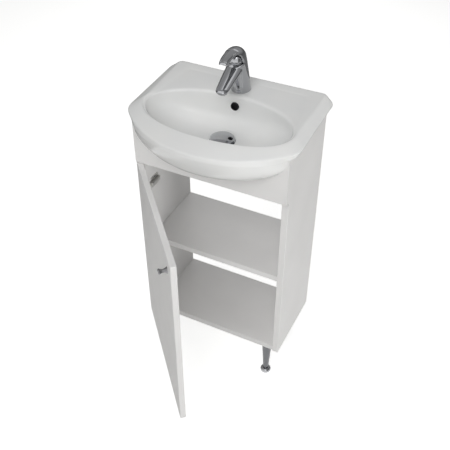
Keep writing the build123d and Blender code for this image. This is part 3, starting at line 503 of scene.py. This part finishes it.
# Tap: a chromed cast body that leans to the user, with a spout, a cartridge under a dome,
# and a lever that swivels and lifts; a brass stud clamps it to the deck.
brass = hazed_finish(
    "machined_brass", "#c9a75a", metallic=1.0, scale=800.0, detail=2.0, smooth=0.2, rough=0.35
)
paint(chrome, "aerator_housing", "cartridge_nut")
paint(rubber_and_shade, "tap_gasket", "fixing_gasket")
paint(zinc, "lever_screw", "cartridge_stem_pin", "cartridge_stem", "fixing_washer")
paint(grey_plastic, "cartridge_body", "cartridge_rotor", "aerator_insert")
paint(brass, "fixing_stud", "fixing_nut")

# Tap column: a round chromed casting, 51 mm wide, that leans forward by 18.5 degrees.
# Its foot is flat on the sloping deck.
# Column, spout and lever are drawn in millimetres, through tap_point.
tap_y = panel_front + tap_from_front
lean = radians(18.5)
column_length = 99.5
round_sides, spout_sides = 48, 32


def tap_point(x, forward, height):
    # A place on the tap: across, forward of the middle of its foot, and above the deck.
    return Vector((x / 1000, tap_y - forward / 1000, deck + height / 1000))


def closed_tube(name, rings):
    # A tube drawn ring by ring, with both ends filled.
    tube = drawn_rings(name, rings)
    bpy.ops.mesh.edge_face_add()
    bpy.ops.mesh.select_all(action="SELECT")
    bpy.ops.mesh.normals_make_consistent(inside=False)
    bpy.ops.object.mode_set(mode="OBJECT")
    return tube


def leaning_ring(along, radius, turn, front_drop=0.0):
    # A circle about the leaning axis; its plane is turned from level by a share of the lean.
    ring = []
    for a in steps(0, 2 * pi, round_sides):
        out = radius * cos(a)
        dip = front_drop * max(0, cos(a)) ** 2
        middle = (along * sin(lean), along * cos(lean))
        stretch = 1 / cos(lean) if turn == 0 else 1
        ring.append(tap_point(
            radius * sin(a),
            middle[0] + out * stretch * cos(lean * turn) - dip * sin(lean),
            middle[1] - out * stretch * sin(lean * turn) - dip * cos(lean),
        ))
    return ring


# Each ring has its place along the axis, its radius, its share of the lean and how far its front dips.
column = closed_tube("tap_body_casting", [leaning_ring(*row) for row in (
    (-2.2, 25.9, 0), (2.4, 25.9, 0), (3.4, 25.4, 0), (12, 25.5, 0.15), (30, 25.7, 0.5), (55, 26.0, 0.9),
    (80, 26.3, 1), (97.5, 26.5, 1, 3), (99, 25.6, 1, 3.5), (99.4, 20, 1, 0.5),
)])

# Spout: it grows out of the column as a broad chromed tongue, rounded above, with an edge along each side.
# A collar under its end holds the aerator; the three are cast as one and ground smooth.
spout_forward, spout_up = 0.39, 0.92
spout_rings = []
for forward, height, half, top, below in (
    (16, 86, 22.0, 13, 16), (30, 80, 22.2, 13, 15), (46, 73.3, 21.6, 12.2, 13.5), (62, 66.5, 20.6, 11.2, 12),
    (78, 59.8, 19.4, 10, 10.5), (94, 53, 18, 8.8, 9), (106, 48.2, 16.9, 8, 7.5), (114, 45.6, 15.2, 7, 5.6),
    (119.5, 44.4, 12, 5, 3.6), (122, 43.8, 8, 3, 2),
):
    ring = []
    for a in steps(0, 2 * pi, spout_sides):
        rise = (top if sin(a) > 0 else below) * sin(a)
        ring.append(tap_point(half * cos(a), forward + spout_forward * rise, height + spout_up * rise))
    spout_rings.append(ring)
spout = closed_tube("spout", spout_rings)
outlet_forward = 107
collar = closed_tube("collar", [
    [
        tap_point(radius * sin(a), outlet_forward + radius * cos(a), height)
        for a in steps(0, 2 * pi, round_sides)
    ]
    for radius, height in ((14.6, 45), (15, 46), (15, 52))
])
bpy.ops.object.select_all(action="DESELECT")
for tube in (spout, collar, column):
    tube.select_set(True)
bpy.context.view_layer.objects.active = column
bpy.ops.object.join()
cast = column.modifiers.new("cast", "REMESH")
cast.mode = "VOXEL"
cast.voxel_size = 0.0007
bpy.ops.object.modifier_apply(modifier="cast")
ground = column.modifiers.new("ground", "SMOOTH")
ground.factor = 0.5
ground.iterations = 10
bpy.ops.object.modifier_apply(modifier="ground")
bpy.ops.object.shade_smooth()
column.data.materials.clear()
column.data.materials.append(chrome)
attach(column, "carcass")
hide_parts("tap_body")

# Dome: a turned and chromed ball of 20.4 mm radius over the cartridge, 1.5 mm thick.
# It stands on the column and is open on top for the stem.
# Its middle is the point that the lever tilts about, so the lever clears it at every tilt.
ball_radius, ball_wall, opening_height = 0.0204, 0.0015, 0.0157
to_back = Vector((0, -cos(lean), sin(lean)))
to_top = Vector((0, sin(lean), cos(lean)))
column_top = tap_point(*(column_length * to_top))
lean_axis = (column_top - tap_point(0, 0, 0)).normalized()
lift_joint = next(joint for joint in frame["record"]["behaviour"]["joints"] if joint["name"] == "lever_lift")
ball_centre = Vector(lift_joint["pos_m"])
bpy.ops.object.select_all(action="DESELECT")
bpy.ops.mesh.primitive_uv_sphere_add(segments=72, ring_count=48, radius=ball_radius, location=ball_centre)
dome = bpy.context.object
dome.name = "tap_dome_turning"
bpy.ops.object.transform_apply(location=True, rotation=True, scale=True)
bpy.ops.object.mode_set(mode="EDIT")
bpy.ops.mesh.select_all(action="SELECT")
bpy.ops.mesh.bisect(plane_co=column_top, plane_no=lean_axis, clear_inner=True)
bpy.ops.mesh.select_all(action="SELECT")
bpy.ops.mesh.bisect(plane_co=ball_centre + lean_axis * opening_height, plane_no=lean_axis, clear_outer=True)
bpy.ops.object.mode_set(mode="OBJECT")
turned_wall = dome.modifiers.new("turned_wall", "SOLIDIFY")
turned_wall.thickness = ball_wall
turned_wall.offset = -1
bpy.ops.object.modifier_apply(modifier="turned_wall")
bpy.ops.object.shade_smooth_by_angle(angle=radians(40))
dome.data.materials.clear()
dome.data.materials.append(chrome)
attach(dome, "carcass")
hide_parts("tap_dome")

# Lever: a chromed hood of about 28 mm radius over the dome that runs out into a tongue with a curled tip.
# It is drawn as one bent sheet, 6 mm thick, between the line of its ridge and the line of its edge,
# and is screwed to the stem of the cartridge.
hood_rise, hood_radius = 6.5, 27.6
hood = (column_length + hood_rise) * to_top
ridge = [
    hood + hood_radius * (cos(radians(angle)) * to_back + sin(radians(angle)) * to_top)
    for angle in (8, 25, 42, 58, 74)
]
ridge += [Vector((0, forward, height)) for forward, height in (
    (45, 128), (55, 127.2), (66, 126.2), (79, 124.9), (91.5, 123.4), (100.5, 121.4), (106.5, 118.6),
    (109.2, 115.2), (108.8, 112.4),
)]
lever_edge = [Vector(point) for point in (
    (24.4, 41.5, 91.9), (24.9, 43.3, 98), (24.8, 44.8, 104), (24.2, 46.3, 109.5), (23.1, 48.5, 114.5),
    (20.6, 51.5, 118.3), (18, 56, 120.4), (16, 64.5, 120.8), (14.4, 77, 119.6), (12.9, 90, 118),
    (11.7, 99.5, 116), (10.5, 105, 113.6), (9.4, 107, 111.4), (8.4, 106.6, 109.8),
)]
# The lower edge of the hood runs level round the sides and rises to the back, to let the lever be lifted.
edge_radius, edge_height, edge_wrap, edge_rise = 27.3, -5.9, radians(112), radians(20.5)
hood_end_row, hood_blend_rows, tongue_crown = 6, 2, 0.7
first_panel_row, last_panel_row, panel_half = 5, 11, 0.65
across_count, along_count = 14, len(ridge) - 1
bpy.ops.object.select_all(action="DESELECT")
bpy.ops.mesh.primitive_grid_add(
    x_subdivisions=across_count, y_subdivisions=along_count, size=2, location=(0, 0, 0)
)
lever = bpy.context.object
lever.name = "tap_lever_pressing"
panel_corners = set()
for vertex in lever.data.vertices:
    row = round((vertex.co.y + 1) / 2 * along_count)
    if first_panel_row <= row <= last_panel_row and abs(vertex.co.x) < panel_half:
        panel_corners.add(vertex.index)
    a = vertex.co.x * pi / 2
    side, top = lever_edge[row], ridge[row]
    on_hood = max(0, min(1, (hood_end_row - row) / hood_blend_rows))
    crown = max(0, cos(a)) ** (1 if on_hood else tongue_crown)
    spot = Vector((side.x * sin(a), side.y + (top.y - side.y) * crown, side.z + (top.z - side.z) * crown))
    radius = (side - hood).length + ((top - hood).length - (side - hood).length) * crown
    on_ball = hood + (spot - hood).normalized() * radius
    spot = spot.lerp(on_ball, on_hood)
    if row == 0:
        azimuth = vertex.co.x * edge_wrap
        behind = edge_radius * cos(azimuth)
        lift = edge_height + max(0, behind) * tan(edge_rise)
        spot = hood + behind * to_back + lift * to_top + Vector((edge_radius * sin(azimuth), 0, 0))
    vertex.co = tap_point(*spot)
bpy.ops.object.mode_set(mode="EDIT")
bpy.ops.mesh.select_all(action="SELECT")
bpy.ops.mesh.normals_make_consistent(inside=False)
bpy.ops.object.mode_set(mode="OBJECT")
tongue_top = tap_point(0, 60, 127)
middle_face = min(lever.data.polygons, key=lambda face: (face.center - tongue_top).length)
if middle_face.normal.z < 0:
    bpy.ops.object.mode_set(mode="EDIT")
    bpy.ops.mesh.flip_normals()
    bpy.ops.object.mode_set(mode="OBJECT")
# The tongue has a sunk panel along its top, 1.8 mm deep, with a sloping step all round.
panel_depth, step_width, step_edge = 0.0018, 0.003, 0.0004
bpy.ops.object.mode_set(mode="EDIT")
bpy.ops.mesh.select_mode(type="FACE")
bpy.ops.mesh.select_all(action="DESELECT")
bpy.ops.object.mode_set(mode="OBJECT")
for face in lever.data.polygons:
    face.select = panel_corners.issuperset(face.vertices)
bpy.ops.object.mode_set(mode="EDIT")
bpy.ops.mesh.inset(thickness=step_edge, depth=0.0)
bpy.ops.mesh.inset(thickness=step_width, depth=-panel_depth)
bpy.ops.mesh.inset(thickness=step_edge, depth=0.0)
bpy.ops.object.mode_set(mode="OBJECT")
sheet = lever.modifiers.new("sheet", "SOLIDIFY")
sheet.thickness = 0.006
sheet.offset = -1
bpy.ops.object.modifier_apply(modifier="sheet")
soft = lever.modifiers.new("soft", "SUBSURF")
soft.levels = soft.render_levels = 2
bpy.ops.object.modifier_apply(modifier="soft")
bpy.ops.object.shade_smooth()
lever.data.materials.clear()
lever.data.materials.append(chrome)
# The underside is left as cast: dull zinc with a sandy skin of about 1 mm grains, drawn at 2 mm.
faces_down = -0.3
dull_zinc = hazed_finish(
    "dull_zinc_casting", "#a2a3a5", metallic=0.3, scale=500.0, detail=3.0, smooth=0.5, rough=0.65
)
lever.data.materials.append(dull_zinc)
for face in lever.data.polygons:
    face.material_index = 1 if face.normal.z < faces_down else 0
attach(lever, "lever")
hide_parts("tap_lever")

# Studio: a pale floor and a surround, with soft lamps over the camera, on the right, above and behind.
# To the camera, in mirrors and through clear pieces both look white, and the floor keeps the shadow.
# A grey screen and a small bright card, which only polished surfaces see, draw the lines in the metal.


def seen_white(tree):
    # 1 for a ray from the camera, from a mirror or through a clear piece, and 0 for any other.
    path = add(tree, "ShaderNodeLightPath")
    mirrored = add(tree, "ShaderNodeMath", {"operation": "MAXIMUM"})
    tree.links.new(path.outputs["Is Glossy Ray"], mirrored.inputs[0])
    tree.links.new(path.outputs["Is Transmission Ray"], mirrored.inputs[1])
    seen = add(tree, "ShaderNodeMath", {"operation": "MAXIMUM"})
    tree.links.new(path.outputs["Is Camera Ray"], seen.inputs[0])
    tree.links.new(mirrored.outputs[0], seen.inputs[1])
    return seen


def show_in_mirrors_only(card):
    # Only polished surfaces see the card, and it casts no shadow.
    card.visible_camera = False
    card.visible_diffuse = False
    card.visible_shadow = False
    card.visible_transmission = False


def soft_lamp(name, watts, size, stand, aim):
    # A square softbox that stands at one point and is turned to another; mirrors don't show it.
    lamp = bpy.data.lights.new(name, "AREA")
    lamp.energy = watts
    lamp.shape = "SQUARE"
    lamp.size = size
    holder = bpy.data.objects.new(name, lamp)
    bpy.context.scene.collection.objects.link(holder)
    holder.location = stand
    holder.rotation_euler = (Vector(aim) - Vector(stand)).to_track_quat("-Z", "Y").to_euler()
    holder.visible_glossy = False


bpy.ops.object.select_all(action="DESELECT")
bpy.ops.mesh.primitive_plane_add(size=14.0, location=(0, 0, 0))
floor = bpy.context.object
floor.name = "floor"
floor_glow = 0.66
pale_floor = bpy.data.materials.new("pale_floor")
tree = empty_tree(pale_floor)
matt = add(tree, "ShaderNodeBsdfDiffuse", {"Color": linear("#e4e4e2")})
glow_strength = add(tree, "ShaderNodeMath", {"operation": "MULTIPLY"})
glow_strength.inputs[1].default_value = floor_glow
tree.links.new(seen_white(tree).outputs[0], glow_strength.inputs[0])
glow = add(tree, "ShaderNodeEmission", {"Color": (1, 1, 1, 1)}, Strength=(glow_strength, 0))
both = add(tree, "ShaderNodeAddShader")
tree.links.new(matt.outputs[0], both.inputs[0])
tree.links.new(glow.outputs[0], both.inputs[1])
add(tree, "ShaderNodeOutputMaterial", Surface=(both, 0))
floor.data.materials.append(pale_floor)

room_light = 0.2
world = bpy.data.worlds.new("surround")
bpy.context.scene.world = world
tree = empty_tree(world)
whole = add(tree, "ShaderNodeMix", {"data_type": "RGBA"})
tree.links.new(seen_white(tree).outputs[0], whole.inputs[0])
whole.inputs[6].default_value = (room_light, room_light, room_light, 1)
whole.inputs[7].default_value = (1, 1, 1, 1)
surround = add(tree, "ShaderNodeBackground", {"Strength": 1.0})
tree.links.new(whole.outputs[2], surround.inputs["Color"])
add(tree, "ShaderNodeOutputWorld", Surface=(surround, "Background"))

soft_lamp("key_lamp", 64, 2.2, (0.4, -2.6, 2.9), (0, 0, 0.45))
soft_lamp("side_lamp", 30, 1.2, (3.0, -0.45, 0.65), (0, 0, 0.5))
soft_lamp("top_lamp", 9.5, 1.6, (0.1, 0.5, 3.2), (0, 0, 0.8))
soft_lamp("back_lamp", 12, 1.6, (-1.2, 2.8, 1.6), (0, 0, 0.5))

# A grey cloth screen stands round the back and sides, and gives polished metal its dark lines.
# It is open overhead and in front, where the metal shows the white surround.
screen_radius, screen_height, screen_front = 0.85, 3.0, -0.45
bpy.ops.object.select_all(action="DESELECT")
bpy.ops.mesh.primitive_cylinder_add(
    vertices=72, radius=screen_radius, depth=screen_height, end_fill_type="NOTHING",
    location=(0, 0, screen_height / 2),
)
screen = bpy.context.object
screen.name = "grey_screen"
bpy.ops.object.transform_apply(location=True, rotation=True, scale=True)
bpy.ops.object.mode_set(mode="EDIT")
bpy.ops.mesh.select_all(action="DESELECT")
mesh = bmesh.from_edit_mesh(screen.data)
for face in mesh.faces:
    face.select = face.calc_center_median().y < screen_front
bmesh.update_edit_mesh(screen.data)
bpy.ops.mesh.delete(type="FACE")
bpy.ops.object.mode_set(mode="OBJECT")
bpy.ops.object.shade_smooth()
show_in_mirrors_only(screen)
grey_cloth = bpy.data.materials.new("grey_cloth")
tree = empty_tree(grey_cloth)
place = add(tree, "ShaderNodeTexCoord")
axes = add(tree, "ShaderNodeSeparateXYZ", Vector=(place, "Object"))
climb = add(tree, "ShaderNodeMapRange", {"From Min": 0.0, "From Max": screen_height}, Value=(axes, "Z"))
cloth_tone = add(tree, "ShaderNodeValToRGB", Fac=(climb, "Result"))
stops = cloth_tone.color_ramp.elements
foot_tone, head_tone = 0.28, 0.62
stops[0].color = (foot_tone, foot_tone, foot_tone, 1)
stops[1].color = (head_tone, head_tone, head_tone, 1)
for position, tone in ((0.1, 0.26), (0.3, 0.2), (0.37, 0.13), (0.45, 0.42), (0.6, 0.38), (0.78, 0.5)):
    stop = stops.new(position)
    stop.color = (tone, tone, tone, 1)
dim = add(tree, "ShaderNodeEmission", {"Strength": 1.0}, Color=(cloth_tone, "Color"))
add(tree, "ShaderNodeOutputMaterial", Surface=(dim, 0))
screen.data.materials.append(grey_cloth)

# The bright card stands above and behind the camera, turned to the cupboard.
card_size, card_place, card_aim = 0.5, Vector((1.3, -2.0, 2.7)), Vector((0, 0, 0.7))
card_turn = (card_place - card_aim).to_track_quat("Z", "Y").to_euler()
bpy.ops.object.select_all(action="DESELECT")
bpy.ops.mesh.primitive_plane_add(size=card_size, location=card_place, rotation=card_turn)
sparkle = bpy.context.object
sparkle.name = "sparkle_card"
bpy.ops.object.transform_apply(location=True, rotation=True, scale=True)
show_in_mirrors_only(sparkle)
bright_card = bpy.data.materials.new("bright_card")
tree = empty_tree(bright_card)
light = add(tree, "ShaderNodeEmission", {"Color": (1, 1, 1, 1), "Strength": 5.0})
add(tree, "ShaderNodeOutputMaterial", Surface=(light, 0))
sparkle.data.materials.append(bright_card)

# The camera stands where the photograph was taken, as solved from the cupboard's straight edges.
camera = bpy.data.cameras.new("camera")
camera.lens = 54.31
camera.sensor_width = 36.0
eye = bpy.data.objects.new("camera", camera)
bpy.context.scene.collection.objects.link(eye)
eye.location = (0.66124, -1.19321, 1.70443)
eye.rotation_euler = (radians(50.269), 0, radians(26.593))
bpy.context.scene.camera = eye
bpy.context.scene.view_settings.view_transform = "Standard"
